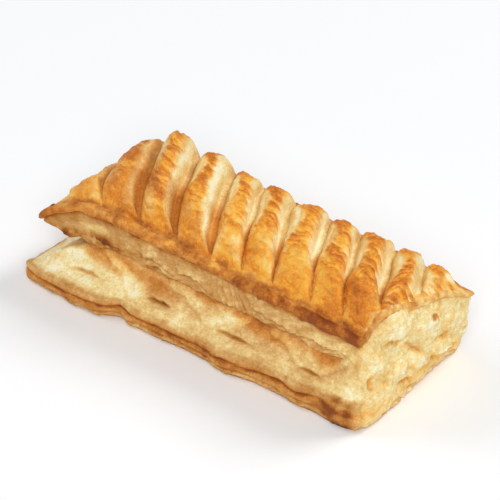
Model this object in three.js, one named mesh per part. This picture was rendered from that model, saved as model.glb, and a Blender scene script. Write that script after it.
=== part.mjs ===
// A cheese friand: a baked puff pastry parcel, sealed round a filling that does not show.
// A flat bottom sheet carries a top sheet that was slashed before baking, so it has puffed into slanted ribs.
// Millimetres, +Z up. +X runs along the parcel, -Y is its front, and the origin is the centre of the underside.

import * as THREE from 'three';

// Bottom sheet: the layered band that the parcel stands on is thicker at its right end. Its long edges swell
// outwards in places, at x on the front and at -x on the back, and the front one has a nick.
const BASE_LENGTH = 147;
const BASE_WIDTH = 59;
const BASE_CORNER_CUT = 0.9;
const BAND_HEIGHT_LEFT = 6.6;
const BAND_HEIGHT_RIGHT = 9.6;
const SWELLS = [
  { x: -66, width: 20, depth: 1.6 },
  { x: -46, width: 38, depth: 4.0 },
  { x: -11, width: 13, depth: 0.6 },
  { x: 17.5, width: 15, depth: 2.3 },
  { x: 49, width: 10, depth: 1.0 },
  { x: 65, width: 16, depth: 1.6 },
];
const NICK = { x: -31, width: 8, depth: 3.2 };
const END_SWELL = { y: -14, width: 40, depth: 1.4 };

// Rim of the top sheet: its lower edge at the corners, the inward bow of its sides, and their upward arch. The
// right end's arch has an extra towards the front, and the left end sags near its front corner.
const RIM_FRONT_LEFT = new THREE.Vector3(-73.0, -23.4, 21.5);
const RIM_FRONT_RIGHT = new THREE.Vector3(71.4, -22.2, 29.0);
const RIM_BACK_LEFT = new THREE.Vector3(-64.5, 30.0, 29.5);
const RIM_BACK_RIGHT = new THREE.Vector3(81.5, 27.5, 26.3);
const RIM_BOW = { front: 2.6, back: 1.5, right: 1.0 };
const RIM_ARCH = { front: 6.4, back: 4.0, right: 6.8 };
const RIGHT_ARCH_EXTRA = { height: 2.8, from: 0.1, to: 0.6 };
const RIGHT_ARCH_FALL = { front: 8, back: 2.4 };
const RIM_SAG = { q: -0.36, width: 0.5, depth: 3.4 };
const RIM_THICKNESS = 3.0;
const RIM_TOP_INSET = 1.9;
const RIM_WAVE = { length: 13, height: 0.7 };

// Lid: how far it domes above its rim, and the ribs between its slits. A rib's slit is the one on its left,
// given as its x where y is 0, and its puff is its share of the usual rib height. Crests lie further along their
// rib towards the right, and the trough beside a rib takes a share of its width.
const DOME_RISE = 6.8;
const DOME_LEFT_EXTRA = 23;
const DOME_FALL = { across: 3, left: 2.6, right: 6, extra: 4 };
const SLIT_SLANT = 0.52;
const RIB_HEIGHT = 5.4;
const RIB_CREST = { first: 0.60, extra: 0.10, from: -40, to: 0 };
const RIB_ROUNDNESS = { climb: 2.7, drop: 2.5 };
const TROUGH = 0.12;
const RIBS = [
  { slit: -73.0, puff: 0.35 },
  { slit: -56.1, puff: 0.55 },
  { slit: -38.6, puff: 1.40 },
  { slit: -22.3, puff: 1.00 },
  { slit: -6.4, puff: 0.75 },
  { slit: 6.2, puff: 0.80 },
  { slit: 19.7, puff: 0.75 },
  { slit: 35.7, puff: 0.75 },
  { slit: 48.9, puff: 0.90 },
  { slit: 63.3, puff: 0.90 },
  { slit: 75.9, puff: 0.85 },
];
const LAST_SLIT = 89;
const APRON = { start: 0.5, front: 7, back: 5, left: 9, right: 4.5 };

// Side relief: press marks along both long sides, flaky crags, which lie flat, and lumps on the ends.
// The marks' rise and spread are shares of the side's height.
const PRESS = { count: 4, pitch: 33, centre: 0.8, length: 9, depth: 1.8, rise: 0.13, spread: 0.07 };
const CRAG = { length: 7, height: 3.5 };
const END_LUMP = { size: 11, depth: 1.5 };

// Where a long side and an end face begin, as shares of the half width and half length, and where the crease
// under the rim fades out towards the right end.
const LONG_SIDE = 0.9;
const END_FACE = 0.97;
const CREASE_FADE = { from: 0.80, to: 0.985 };
// Powers by which the slant, the sides' bow and arch, the rim's wave and the corners' turn fade along a side, and
// by which the forms of the sides and of the ends fade inwards.
const FADE = { slant: 4, side: 6, wave: 8, turn: 12, inward: 2, endBow: 4, endArch: 6, endSag: 8 };

// Facets along and across the parcel.
const STEPS_ALONG = 92;
const STEPS_ACROSS = 22;

// The side wall, from the underside up, as rows of points round the parcel. Each row has its zone and the share
// of that zone's height; how far it has moved from the base outline to the rim outline on the long sides and on
// the ends; how far it is tucked in on the long sides, the left end and the right end; and its crag depth.
const WALL_ROWS = [
  { zone: 'band', rise: 0.00, reach: 0.00, endReach: 0.00, tuck: [1.0, 1.0, 1.0], crag: 0.4 },
  { zone: 'band', rise: 0.20, reach: 0.00, endReach: 0.04, tuck: [0.0, 0.0, 0.0], crag: 0.6 },
  { zone: 'band', rise: 0.42, reach: 0.00, endReach: 0.12, tuck: [0.8, 0.6, 0.3], crag: 0.5 },
  { zone: 'band', rise: 0.58, reach: 0.00, endReach: 0.20, tuck: [0.0, 0.0, 0.0], crag: 0.6 },
  { zone: 'band', rise: 0.77, reach: 0.02, endReach: 0.30, tuck: [0.9, 0.6, 0.3], crag: 0.5 },
  { zone: 'band', rise: 1.00, reach: 0.06, endReach: 0.40, tuck: [0.2, 0.4, 0.0], crag: 0.6 },
  { zone: 'side', rise: 0.08, reach: 0.33, endReach: 0.50, tuck: [0.0, 5.0, 0.0], crag: 0.4 },
  { zone: 'side', rise: 0.18, reach: 0.60, endReach: 0.62, tuck: [0.0, 6.6, 0.0], crag: 0.5 },
  { zone: 'side', rise: 0.31, reach: 0.88, endReach: 0.74, tuck: [0.6, 8.4, 0.2], crag: 0.5 },
  { zone: 'side', rise: 0.44, reach: 1.00, endReach: 0.82, tuck: [2.0, 11.2, 0.5], crag: 0.6 },
  { zone: 'side', rise: 0.53, reach: 1.00, endReach: 0.87, tuck: [0.6, 10.2, 0.1], crag: 0.9 },
  { zone: 'side', rise: 0.66, reach: 1.00, endReach: 0.91, tuck: [0.9, 7.4, 0.4], crag: 0.8 },
  { zone: 'side', rise: 0.82, reach: 1.00, endReach: 0.96, tuck: [0.4, 3.2, 0.1], crag: 0.9 },
  { zone: 'side', rise: 1.00, reach: 1.00, endReach: 1.00, tuck: [0.0, 0.0, 0.0], crag: 0.5 },
  { zone: 'rim', rise: 0.50, reach: 1.00, endReach: 1.00, tuck: [-0.2, -0.2, -0.2], crag: 0.5 },
];

const lerp = THREE.MathUtils.lerp;
const smoothstep = THREE.MathUtils.smoothstep;

// Multipliers that scatter the lattice points of the noise.
const SCATTER = { i: 127.1, j: 311.7, k: 74.7, gain: 43758.5453 };

// A repeatable value in -1..1 for a lattice point.
function latticeValue(i, j, k) {
  const scattered = Math.sin(i * SCATTER.i + j * SCATTER.j + k * SCATTER.k) * SCATTER.gain;
  return 2 * (scattered - Math.floor(scattered)) - 1;
}

// Smooth noise in -1..1: lattice values blended over the cell that holds the point.
function noise(x, y, z) {
  const cell = [Math.floor(x), Math.floor(y), Math.floor(z)];
  const blend = [x, y, z].map((value, axis) => smoothstep(value - cell[axis], 0, 1));
  let sum = 0;
  for (let corner = 0; corner < 8; corner++) {
    const step = [corner & 1, (corner >> 1) & 1, corner >> 2];
    const weight = step.reduce((product, on, axis) => product * (on ? blend[axis] : 1 - blend[axis]), 1);
    sum += weight * latticeValue(cell[0] + step[0], cell[1] + step[1], cell[2] + step[2]);
  }
  return sum;
}

// Grid parameters (s, t) in -1..1 become outline parameters (p, q). Columns lean with the slits, less towards
// the ends, and the corners of the square are drawn in so that they round off.
function outlineAt(s, t) {
  const lean = SLIT_SLANT * BASE_WIDTH / BASE_LENGTH;
  const along = s - lean * t * (1 - s ** FADE.slant);
  const cornerLong = Math.abs(along) ** (BASE_LENGTH / 4 / BASE_CORNER_CUT);
  const cornerShort = Math.abs(t) ** (BASE_WIDTH / 4 / BASE_CORNER_CUT);
  const pull = 2 * BASE_CORNER_CUT * cornerLong * cornerShort;
  return { p: along * (1 - pull / BASE_LENGTH), q: t * (1 - pull / BASE_WIDTH) };
}

// A bell of a bump's own depth that falls off over its width.
function bump({ width, depth }, distance) {
  return depth * Math.exp(-((2 * distance / width) ** 2));
}

// The lower edge of the rim at (p, q), carried on inwards as the sheet that the dome stands on: a patch between
// the four corners, with each side bowed in and arched up. The front arch is higher towards the left, and the
// right one rises steeply behind the front corner.
function rimSheet(p, q) {
  const left = (1 - p) / 2;
  const right = (1 + p) / 2;
  const front = (1 - q) / 2;
  const back = (1 + q) / 2;
  const point = new THREE.Vector3();
  point.addScaledVector(RIM_FRONT_LEFT, left * front);
  point.addScaledVector(RIM_FRONT_RIGHT, right * front);
  point.addScaledVector(RIM_BACK_LEFT, left * back);
  point.addScaledVector(RIM_BACK_RIGHT, right * back);
  const alongSide = 1 - p ** FADE.side;
  const nearFront = alongSide * front ** FADE.inward;
  const nearBack = alongSide * back ** FADE.inward;
  point.x -= RIM_BOW.right * (1 - q ** 2) * right ** FADE.endBow;
  point.y += RIM_BOW.front * (1 - p / 2) * nearFront - RIM_BOW.back * nearBack;
  point.z += RIM_ARCH.front * (1 - p) * nearFront + RIM_ARCH.back * nearBack;
  const extra = RIGHT_ARCH_EXTRA.height * smoothstep(-q, RIGHT_ARCH_EXTRA.from, RIGHT_ARCH_EXTRA.to);
  const fall = 1 - Math.abs(q) ** (q < 0 ? RIGHT_ARCH_FALL.front : RIGHT_ARCH_FALL.back);
  point.z += (RIM_ARCH.right + extra) * fall * right ** FADE.endArch;
  point.z -= bump(RIM_SAG, q - RIM_SAG.q) * left ** FADE.endSag;
  const nearEdge = Math.max(Math.abs(p), Math.abs(q)) ** FADE.wave;
  point.z += RIM_WAVE.height * nearEdge * noise(point.x / RIM_WAVE.length, point.y / RIM_WAVE.length, 0);
  return point;
}

// The way out of the parcel at (p, q): across the nearest side, turning quickly round the corners.
function outwardAt(p, q) {
  const turn = (share) => Math.sign(share) * Math.abs(share) ** FADE.turn;
  return new THREE.Vector3(turn(p), turn(q), 0).normalize();
}

// How far the base edge swells outwards at a point.
function edgeSwell({ x, y }, p, q) {
  if (Math.abs(q) < LONG_SIDE) {
    return p > 0 ? bump(END_SWELL, y - END_SWELL.y) : 0;
  }
  const along = q < 0 ? x : -x;
  const swell = SWELLS.reduce((sum, place) => sum + bump(place, along - place.x), 0);
  return q < 0 ? swell - bump(NICK, x - NICK.x) : swell;
}

// Depth of the lens-shaped press marks at x, on a row that stands at a share of the side's height.
function pressDepth(x, row, q) {
  if (row.zone !== 'side' || Math.abs(q) < LONG_SIDE) {
    return 0;
  }
  const high = (row.rise - PRESS.rise) / PRESS.spread;
  let depth = 0;
  for (let mark = 0; mark < PRESS.count; mark++) {
    const centre = PRESS.centre + (mark - (PRESS.count - 1) / 2) * PRESS.pitch;
    const along = 2 * (x - centre) / PRESS.length;
    depth += PRESS.depth * Math.exp(-(along ** 4) - high ** 2);
  }
  return depth;
}

// One point of a wall row at (p, q).
function wallPoint(row, p, q) {
  const rim = rimSheet(p, q);
  const band = lerp(BAND_HEIGHT_LEFT, BAND_HEIGHT_RIGHT, (1 + p) / 2);
  const [tuckLong, tuckLeft, tuckRight] = row.tuck;
  const point = new THREE.Vector3();
  point.x = lerp(p * BASE_LENGTH / 2, rim.x, row.endReach) - p * (p < 0 ? tuckLeft : tuckRight);
  const crease = 1 - smoothstep(p, CREASE_FADE.from, CREASE_FADE.to);
  point.y = lerp(q * BASE_WIDTH / 2, rim.y, row.reach) - q * tuckLong * (row.zone === 'side' ? crease : 1);
  const heights = {
    band: row.rise * band,
    side: lerp(band, rim.z, row.rise),
    rim: rim.z + row.rise * RIM_THICKNESS,
  };
  point.z = heights[row.zone];

  let push = row.crag * noise(point.x / CRAG.length, point.y / CRAG.length, point.z / CRAG.height);
  if (row.zone === 'side') {
    const lump = noise(point.x / END_LUMP.size, point.y / END_LUMP.size, point.z / END_LUMP.size);
    push += END_LUMP.depth * lump * smoothstep(Math.abs(p), END_FACE, 1) * (1 - row.rise ** 4);
  }
  push += edgeSwell(point, p, q) * (1 - row.reach);
  push -= pressDepth(point.x, row, q);
  return point.addScaledVector(outwardAt(p, q), push);
}

// Height of the ribs at (x, y): a rounded climb from each slit to the crest, and a rounded drop to the trough.
function ribHeight(x, y) {
  const place = x + SLIT_SLANT * y;
  const index = Math.max(0, RIBS.findLastIndex((rib) => rib.slit <= place));
  const rib = RIBS[index];
  const nextSlit = index + 1 < RIBS.length ? RIBS[index + 1].slit : LAST_SLIT;
  const across = THREE.MathUtils.clamp((place - rib.slit) / (nextSlit - rib.slit), 0, 1) / (1 - TROUGH);
  const crest = RIB_CREST.first + RIB_CREST.extra * smoothstep(rib.slit, RIB_CREST.from, RIB_CREST.to);
  const climb = 1 - Math.max(0, 1 - across / crest) ** RIB_ROUNDNESS.climb;
  const drop = 1 - THREE.MathUtils.clamp((across - crest) / (1 - crest), 0, 1) ** RIB_ROUNDNESS.drop;
  return RIB_HEIGHT * rib.puff * climb * drop;
}

// One point of the lid at (p, q): the rim's sheet, domed, with ribs that start behind a flat apron.
function lidPoint(p, q) {
  const point = rimSheet(p, q);
  point.x -= p * RIM_TOP_INSET;
  point.y -= q * RIM_TOP_INSET;
  const left = (1 - p) / 2;
  const ends = 1 - Math.abs(p) ** (p < 0 ? DOME_FALL.left : DOME_FALL.right);
  const sides = 1 - Math.abs(q) ** DOME_FALL.across;
  const dome = (DOME_RISE + DOME_LEFT_EXTRA * left ** DOME_FALL.extra) * sides * ends;
  const halfLength = BASE_LENGTH / 2;
  const halfWidth = BASE_WIDTH / 2;
  const clear = smoothstep((1 + q) * halfWidth, APRON.start, APRON.front)
    * smoothstep((1 - q) * halfWidth, APRON.start, APRON.back)
    * smoothstep((1 + p) * halfLength, APRON.start, APRON.left)
    * smoothstep((1 - p) * halfLength, APRON.start, APRON.right);
  point.z += RIM_THICKNESS + dome + clear * ribHeight(point.x, point.y);
  return point;
}

// The closed skin: wall rows, the lid's grid, whose border is the last wall row, and the flat underside.
function pastryGeometry() {
  const positions = [];
  const triangles = [];
  const addPoint = (point) => positions.push(point.x, point.y, point.z) / 3 - 1;
  const addQuad = (a, b, c, d) => triangles.push(a, b, c, a, c, d);
  const gridStep = (step, count) => 2 * step / count - 1;

  const border = [];
  for (let i = 0; i < STEPS_ALONG; i++) border.push([i, 0]);
  for (let j = 0; j < STEPS_ACROSS; j++) border.push([STEPS_ALONG, j]);
  for (let i = STEPS_ALONG; i > 0; i--) border.push([i, STEPS_ACROSS]);
  for (let j = STEPS_ACROSS; j > 0; j--) border.push([0, j]);
  const borderOutline = border.map(([i, j]) => outlineAt(gridStep(i, STEPS_ALONG), gridStep(j, STEPS_ACROSS)));

  const rings = WALL_ROWS.map((row) => borderOutline.map(({ p, q }) => addPoint(wallPoint(row, p, q))));
  const lid = [];
  for (let i = 0; i <= STEPS_ALONG; i++) {
    lid.push([]);
    for (let j = 0; j <= STEPS_ACROSS; j++) {
      const { p, q } = outlineAt(gridStep(i, STEPS_ALONG), gridStep(j, STEPS_ACROSS));
      lid[i].push(addPoint(lidPoint(p, q)));
    }
  }
  rings.push(border.map(([i, j]) => lid[i][j]));

  for (let row = 0; row + 1 < rings.length; row++) {
    for (let k = 0; k < border.length; k++) {
      const next = (k + 1) % border.length;
      addQuad(rings[row][k], rings[row][next], rings[row + 1][next], rings[row + 1][k]);
    }
  }
  for (let i = 0; i < STEPS_ALONG; i++) {
    for (let j = 0; j < STEPS_ACROSS; j++) {
      addQuad(lid[i + 1][j], lid[i + 1][j + 1], lid[i][j + 1], lid[i][j]);
    }
  }
  const middle = addPoint(new THREE.Vector3(0, 0, 0));
  for (let k = 0; k < border.length; k++) {
    triangles.push(middle, rings[0][(k + 1) % border.length], rings[0][k]);
  }

  const geometry = new THREE.BufferGeometry();
  geometry.setAttribute('position', new THREE.Float32BufferAttribute(positions, 3));
  geometry.setIndex(triangles);
  geometry.computeVertexNormals();
  return geometry;
}

const crust = new THREE.MeshStandardMaterial({ color: 0xd9a255, roughness: 0.6, metalness: 0 });
const pastry = new THREE.Mesh(pastryGeometry(), crust);
pastry.name = 'pastry';

const friand = new THREE.Group();
friand.add(pastry);

export default friand;
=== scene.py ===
"""A cheese friand, a baked puff pastry parcel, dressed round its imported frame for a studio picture."""

import bpy
import numpy as np
from mathutils import Matrix, Vector


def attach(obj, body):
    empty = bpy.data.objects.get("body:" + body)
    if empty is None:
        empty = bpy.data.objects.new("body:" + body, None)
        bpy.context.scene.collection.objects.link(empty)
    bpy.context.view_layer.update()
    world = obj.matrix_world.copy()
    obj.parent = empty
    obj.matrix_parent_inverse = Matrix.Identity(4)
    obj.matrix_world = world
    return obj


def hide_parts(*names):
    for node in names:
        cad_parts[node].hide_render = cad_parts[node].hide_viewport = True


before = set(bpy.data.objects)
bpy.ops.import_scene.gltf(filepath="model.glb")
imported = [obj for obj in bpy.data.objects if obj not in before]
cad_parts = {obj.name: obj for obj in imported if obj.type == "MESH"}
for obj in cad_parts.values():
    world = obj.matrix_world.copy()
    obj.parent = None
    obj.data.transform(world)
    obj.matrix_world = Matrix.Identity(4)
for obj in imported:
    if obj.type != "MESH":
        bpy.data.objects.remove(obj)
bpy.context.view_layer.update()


# Bottom sheet: the flat sheet of laminated dough that the parcel stands on, turned up round the filling.
# Its cut edge is a band of layers with brown seams, and its side is a pale slope that was pressed to seal
# it and that runs up to the crease under the top sheet. Sizes are in millimetres until the mesh is made.

BASE_LENGTH, BASE_WIDTH = 147, 59
CORNER_CUT = 0.9
BAND_LEFT, BAND_RIGHT = 6.6, 9.6
# Each swell of the base edge, the nick in its front and the swell of the right end: middle, width and depth.
SWELLS = [(-66, 20, 1.6), (-46, 38, 4.0), (-11, 13, 0.6), (17.5, 15, 2.3), (49, 10, 1.0), (65, 16, 1.6)]
NICK = (-31, 8, 3.2)
END_SWELL = (-18, 44, 2.2)
# The lower corners of the rim, and how far its sides bow in and arch up between them.
RIM_CORNERS = {
    "front_left": (-73.0, -23.4, 21.5),
    "front_right": (71.4, -22.2, 29.0),
    "back_left": (-64.5, 30.0, 29.5),
    "back_right": (81.5, 27.5, 26.3),
}
RIM_BOW = {"front": 2.6, "back": 1.5, "right": 1.0}
RIM_ARCH = {"front": 6.4, "back": 4.0, "right": 6.8, "right_front": 2.8}
LEFT_SAG = 3.4
RIM_THICKNESS = 3.0
RIM_WAVE_LENGTH, RIM_WAVE_HEIGHT = 13, 0.7
SLIT_SLANT = 0.52
STEPS_ALONG, STEPS_ACROSS = 490, 168


def soft_step(value, low, high):
    """Smooth rise from 0 at low to 1 at high: three squares less two cubes of the share between them."""
    share = np.clip((value - low) / (high - low), 0, 1)
    return share * share * (3 - 2 * share)


def bell(value, middle, width):
    """Bell of height 1 at the middle: e to minus the square of twice the distance over the width."""
    return np.exp(-((2 * (value - middle) / width) ** 2))


def bulge(value, middle, width, depth):
    """Bell of some depth at the middle: the depth times the bell of height 1."""
    return depth * bell(value, middle, width)


def round_patch(x, y, middle_x, middle_y, reach):
    """Round patch, 1 in its middle: e to minus the square of the distance from there over the reach."""
    return np.exp(-((np.hypot(x - middle_x, y - middle_y) / reach) ** 2))


def lattice_value(i, j, k):
    """Repeatable value in -1..1 for lattice points: the fraction of a sine that was multiplied far up."""
    scattered = np.sin(i * 127.1 + j * 311.7 + k * 74.7) * 43758.5453
    return 2 * (scattered - np.floor(scattered)) - 1


def noise(x, y, z):
    """Smooth noise of about -1..1: the random slopes of the eight lattice points round a point, each followed
    to that point, and blended by soft steps."""
    axes = np.broadcast_arrays(x, y, z)
    cells = [np.floor(axis) for axis in axes]
    offsets = [axis - cell for axis, cell in zip(axes, cells)]
    blends = [soft_step(offset, 0, 1) for offset in offsets]
    total = 0
    for corner in range(8):
        steps = (corner & 1, corner >> 1 & 1, corner >> 2)
        i, j, k = (cell + step for cell, step in zip(cells, steps))
        weight, climb = 1, 0
        for axis, step in enumerate(steps):
            weight = weight * (blends[axis] if step else 1 - blends[axis])
            climb = climb + lattice_value(i + 19 * axis, j + 7 * axis, k) * (offsets[axis] - step)
        total = total + weight * climb
    return 2 * total


def crumble(points, size, flatness=1, shift=0):
    """Three octaves of noise at points, each half the size and half the height of the one before."""
    x, y, z = (points[..., axis] / size for axis in range(3))
    z = z * flatness + shift
    return sum(noise(x * 2**n, y * 2**n, z * 2**n + 31 * n) / 2**n for n in range(3)) / 1.75


def outline_at(s, t):
    """Grid shares s, t in -1..1 become outline shares p, q: columns lean with the slits, by less towards the
    ends, and the square's corners are pulled in by products of high powers, so that they round off."""
    lean = SLIT_SLANT * BASE_WIDTH / BASE_LENGTH
    along = s - lean * t * (1 - s**4)
    near_end = np.abs(along) ** (BASE_LENGTH / 4 / CORNER_CUT)
    near_side = np.abs(t) ** (BASE_WIDTH / 4 / CORNER_CUT)
    pull = 2 * CORNER_CUT * near_end * near_side
    return along * (1 - pull / BASE_LENGTH), t * (1 - pull / BASE_WIDTH)


def rim_sheet(p, q):
    """Lower edge of the rim, carried on inwards: the bilinear patch between the four corners, with each side
    bowed in and arched up by bumps that fade towards its ends, a sag on the left and a wavy edge."""
    left, right, front, back = (1 - p) / 2, (1 + p) / 2, (1 - q) / 2, (1 + q) / 2
    shares = {"front_left": left * front, "front_right": right * front, "back_left": left * back,
              "back_right": right * back}
    x, y, z = (sum(shares[name] * RIM_CORNERS[name][axis] for name in shares) for axis in range(3))
    along_side, across_end = 1 - p**6, 1 - q**2
    x = x - RIM_BOW["right"] * across_end * right**4
    y = y + RIM_BOW["front"] * along_side * (1 - p / 2) * front**2 - RIM_BOW["back"] * along_side * back**2
    z = z + RIM_ARCH["front"] * along_side * (1 - p) * front**2 + RIM_ARCH["back"] * along_side * back**2
    end_arch = RIM_ARCH["right"] + RIM_ARCH["right_front"] * soft_step(-q, 0.1, 0.6)
    z = z + end_arch * (1 - np.abs(q) ** np.where(q < 0, 8, 2.4)) * right**6
    z = z - LEFT_SAG * bell(q, -0.36, 0.5) * left**8
    near_edge = np.maximum(np.abs(p), np.abs(q)) ** 8
    z = z + RIM_WAVE_HEIGHT * near_edge * noise(x / RIM_WAVE_LENGTH, y / RIM_WAVE_LENGTH, 0)
    return x, y, z


def grid_shares(count):
    """Evenly spaced shares from -1 to 1."""
    return np.linspace(-1, 1, count + 1)


def border_walk(grid):
    """The border of a grid as one ring: front, right, back and left, each without its last corner."""
    return np.concatenate([grid[:-1, 0], grid[-1, :-1], grid[:0:-1, -1], grid[0, :0:-1]])


GRID_S, GRID_T = np.meshgrid(grid_shares(STEPS_ALONG), grid_shares(STEPS_ACROSS), indexing="ij")
GRID_P, GRID_Q = outline_at(GRID_S, GRID_T)
RING_P, RING_Q = border_walk(GRID_P), border_walk(GRID_Q)
# How far each vertex of a ring belongs to the long sides, the front, the back, the right and the left end,
# and to the stretch near the right end where the bottom sheet climbs to the rim.
RING_LONG = soft_step(np.abs(RING_Q), 0.86, 0.93)
RING_FRONT, RING_BACK = RING_LONG * (RING_Q < 0), RING_LONG * (RING_Q > 0)
RING_RIGHT = soft_step(RING_P, 0.955, 0.995)
RING_LEFT = soft_step(-RING_P, 0.955, 0.995)
RING_RISE = soft_step(RING_P, 0.80, 0.985)
# The columns of each table of profile rows.
PROFILE = ("band", "side", "rim", "reach", "end_reach", "tuck_long", "tuck_left", "tuck_right")


def carry(rows, steps):
    """Smooth profile through rows of values, as named columns: a Catmull-Rom curve, cut into the given steps
    per interval."""
    rows = np.array(rows, float)
    ends = np.concatenate([rows[:1], rows, rows[-1:]])
    intervals = [first + np.arange(count) / count for first, count in enumerate(steps)]
    at = np.concatenate(intervals + [[len(steps)]])
    start = np.minimum(at.astype(int), len(rows) - 2)
    t = (at - start)[:, None]
    a, b, c, d = (ends[start + n] for n in range(4))
    curve = b + t / 2 * (c - a + t * (2 * a - 5 * b + 4 * c - d + t * (3 * (b - c) + d - a)))
    return {name: column[:, None] for name, column in zip(PROFILE, curve.T)}


def wall_form(band, side, rim, reach, end_reach, tuck_long, tuck_left, tuck_right):
    """Rings of a side wall: each ring lies between the base outline and the rim outline by its reach, at its
    shares of the band's, the side's and the rim's height, and is tucked in by its own amounts."""
    rim_x, rim_y, rim_z = rim_sheet(RING_P, RING_Q)
    band_height = BAND_LEFT + (BAND_RIGHT - BAND_LEFT) * (1 + RING_P) / 2
    x = RING_P * BASE_LENGTH / 2 * (1 - end_reach) + rim_x * end_reach
    x = x - RING_P * np.where(RING_P < 0, tuck_left, tuck_right)
    y = RING_Q * BASE_WIDTH / 2 * (1 - reach) + rim_y * reach - RING_Q * tuck_long
    z = band * band_height + side * (rim_z - band_height) + rim * RIM_THICKNESS
    return np.stack([x, y, z], -1)


def ring_normals(points):
    """Outward unit normals of rings: the cross product of the steps round a ring and up the rings."""
    around = np.roll(points, -1, 1) - np.roll(points, 1, 1)
    normals = np.cross(around, np.gradient(points, axis=0))
    return normals / np.linalg.norm(normals, axis=-1, keepdims=True)


def edge_swell(points):
    """How far the base edge swells out: bells along the front, the same turned round on the back, less the
    nick in the front, and one broad bell on the right end."""
    x, y = points[..., 0], points[..., 1]
    front = sum(bulge(x, *swell) for swell in SWELLS) - bulge(x, *NICK)
    back = sum(bulge(-x, *swell) for swell in SWELLS)
    right = bulge(y, *END_SWELL) * (RING_P > 0) * (1 - RING_LONG)
    return front * RING_FRONT + back * RING_BACK + right


def billow(points, size, shift=0):
    """Puffy lumps with sharp valleys between them, 0 in the valleys and about 1 on top: the distance of noise
    from zero, at two sizes."""
    x, y, z = (points[..., axis] / size for axis in range(3))
    return 1.3 * np.abs(noise(x, y, z + shift)) + 0.5 * np.abs(noise(2.3 * x, 2.3 * y, 2.3 * z + shift))


BOTTOM_ROWS = [
    # band, side, rim, reach, end reach, tuck on long sides, on the left end, on the right end
    (0.00, 0.00, 0, 0.00, 0.00, 1.0, 1.0, 1.0),
    (0.20, 0.00, 0, 0.00, 0.04, 0.0, 0.0, 0.0),
    (0.60, 0.00, 0, 0.00, 0.20, 0.0, 0.0, 0.0),
    (1.00, 0.00, 0, 0.06, 0.40, 0.2, 0.4, 0.0),
    (1.00, 0.08, 0, 0.33, 0.50, 0.0, 5.0, 0.0),
    (1.00, 0.18, 0, 0.60, 0.62, 0.0, 6.6, 0.0),
    (1.00, 0.31, 0, 0.88, 0.74, 0.4, 8.4, 0.2),
    (1.00, 0.44, 0, 1.00, 0.82, 1.2, 11.0, 0.5),
    (1.00, 0.50, 0, 1.00, 0.84, 7.0, 16.0, 6.0),
]
BOTTOM_STEPS = [4, 9, 9, 9, 10, 11, 10, 4]
PRESS_MIDDLE, PRESS_PITCH = 0.8, 33
PRESS_CENTRES = PRESS_MIDDLE + PRESS_PITCH * np.array([-1.5, -0.5, 0.5, 1.5])
PRESS_LENGTHS, PRESS_STRENGTHS = np.array([17, 13, 21, 13]), np.array([0.7, 1.0, 0.8, 0.95])
PRESS_HEIGHT, PRESS_DEPTH, PRESS_SIDE = 0.105, 2.2, 0.14
# Each seam of the band: its share of the band's height and its share of the seams' depth.
BAND_SEAMS = [(0.32, 0.7), (0.66, 1.0)]
SEAM_DEPTH, CREVICE_DEPTH, LUMP_RISE, CRUMB_RISE = 0.9, 1.4, 0.9, 0.16
# The part of the band's front that is browned all over: its middle and its width.
BROWNED_CORNER = (66, 15)
# How much higher the bottom sheet reaches on the right end, as a share of the side, and how far it moves out.
END_LIFT, END_OUT = 0.54, 1.1
CORNER_SPAN, CORNER_REACH = 16, 9
# Each curd on the right end: its middle across and up, its half width, its half height and its rise.
CURDS = [(-9, 32, 9, 6.5, 1.8), (1, 13.5, 6.5, 6.5, 2.2), (15, 12.5, 5, 5.5, 2.0), (-19.5, 23, 4.5, 7, 1.6),
         (-8.5, 15, 5, 6, 1.8), (-16, 8, 7, 5.5, 1.6), (8, 26, 7, 6, 1.4), (9, 4.5, 8, 3.5, 1.2),
         (20, 22, 5, 7, 1.2)]
# Each crevice there: its middle across and up, its half length, its tilt in degrees, its bend and its depth.
CREVICES = [(-10.5, 27, 7, -10, 0.04, 1.3), (1.5, 18.8, 8.5, -40, -0.02, 1.2), (12.4, 8.2, 4.5, -46, 0, 1.2),
            (-4.2, 7.8, 5.5, -15, -0.05, 1.4), (-21.3, 17, 4, 80, 0, 1.2), (14.8, 17.8, 4, 0, 0.02, 0.9),
            (-1.8, 12.6, 5, -52, -0.03, 0.7), (-16, 12.6, 4, 30, 0, 0.6)]
# The height of the crevice along the foot of the right end, and the browned spot there: its place, and its
# inner and outer reach.
END_LIP = 2.4
END_SPOT, END_SPOT_REACH = (9.6, 28.4), (0.6, 2.2)
# Each flap on the slope: its middle, its half length, its share of the side's height there and its tilt.
SLOPE_FLAPS = [(-36, 13, 0.24, -0.22), (-4, 12, 0.26, -0.16), (13, 10, 0.20, 0.14), (40, 11, 0.24, -0.18),
               (58, 8, 0.18, 0.12)]
SIDE_HEIGHT = 24
# Each golden patch on the front slope: its middle, its share of the side's height, its width and strength.
GOLDEN_PATCHES = [(-45, 0.36, 18, 1.2), (-28, 0.34, 26, 1.1), (-16, 0.24, 14, 0.6), (3, 0.42, 16, 0.6),
                  (22, 0.40, 20, 0.9), (33, 0.36, 20, 1.0), (54, 0.36, 14, 1.2), (68, 0.30, 8, 0.5)]


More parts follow.
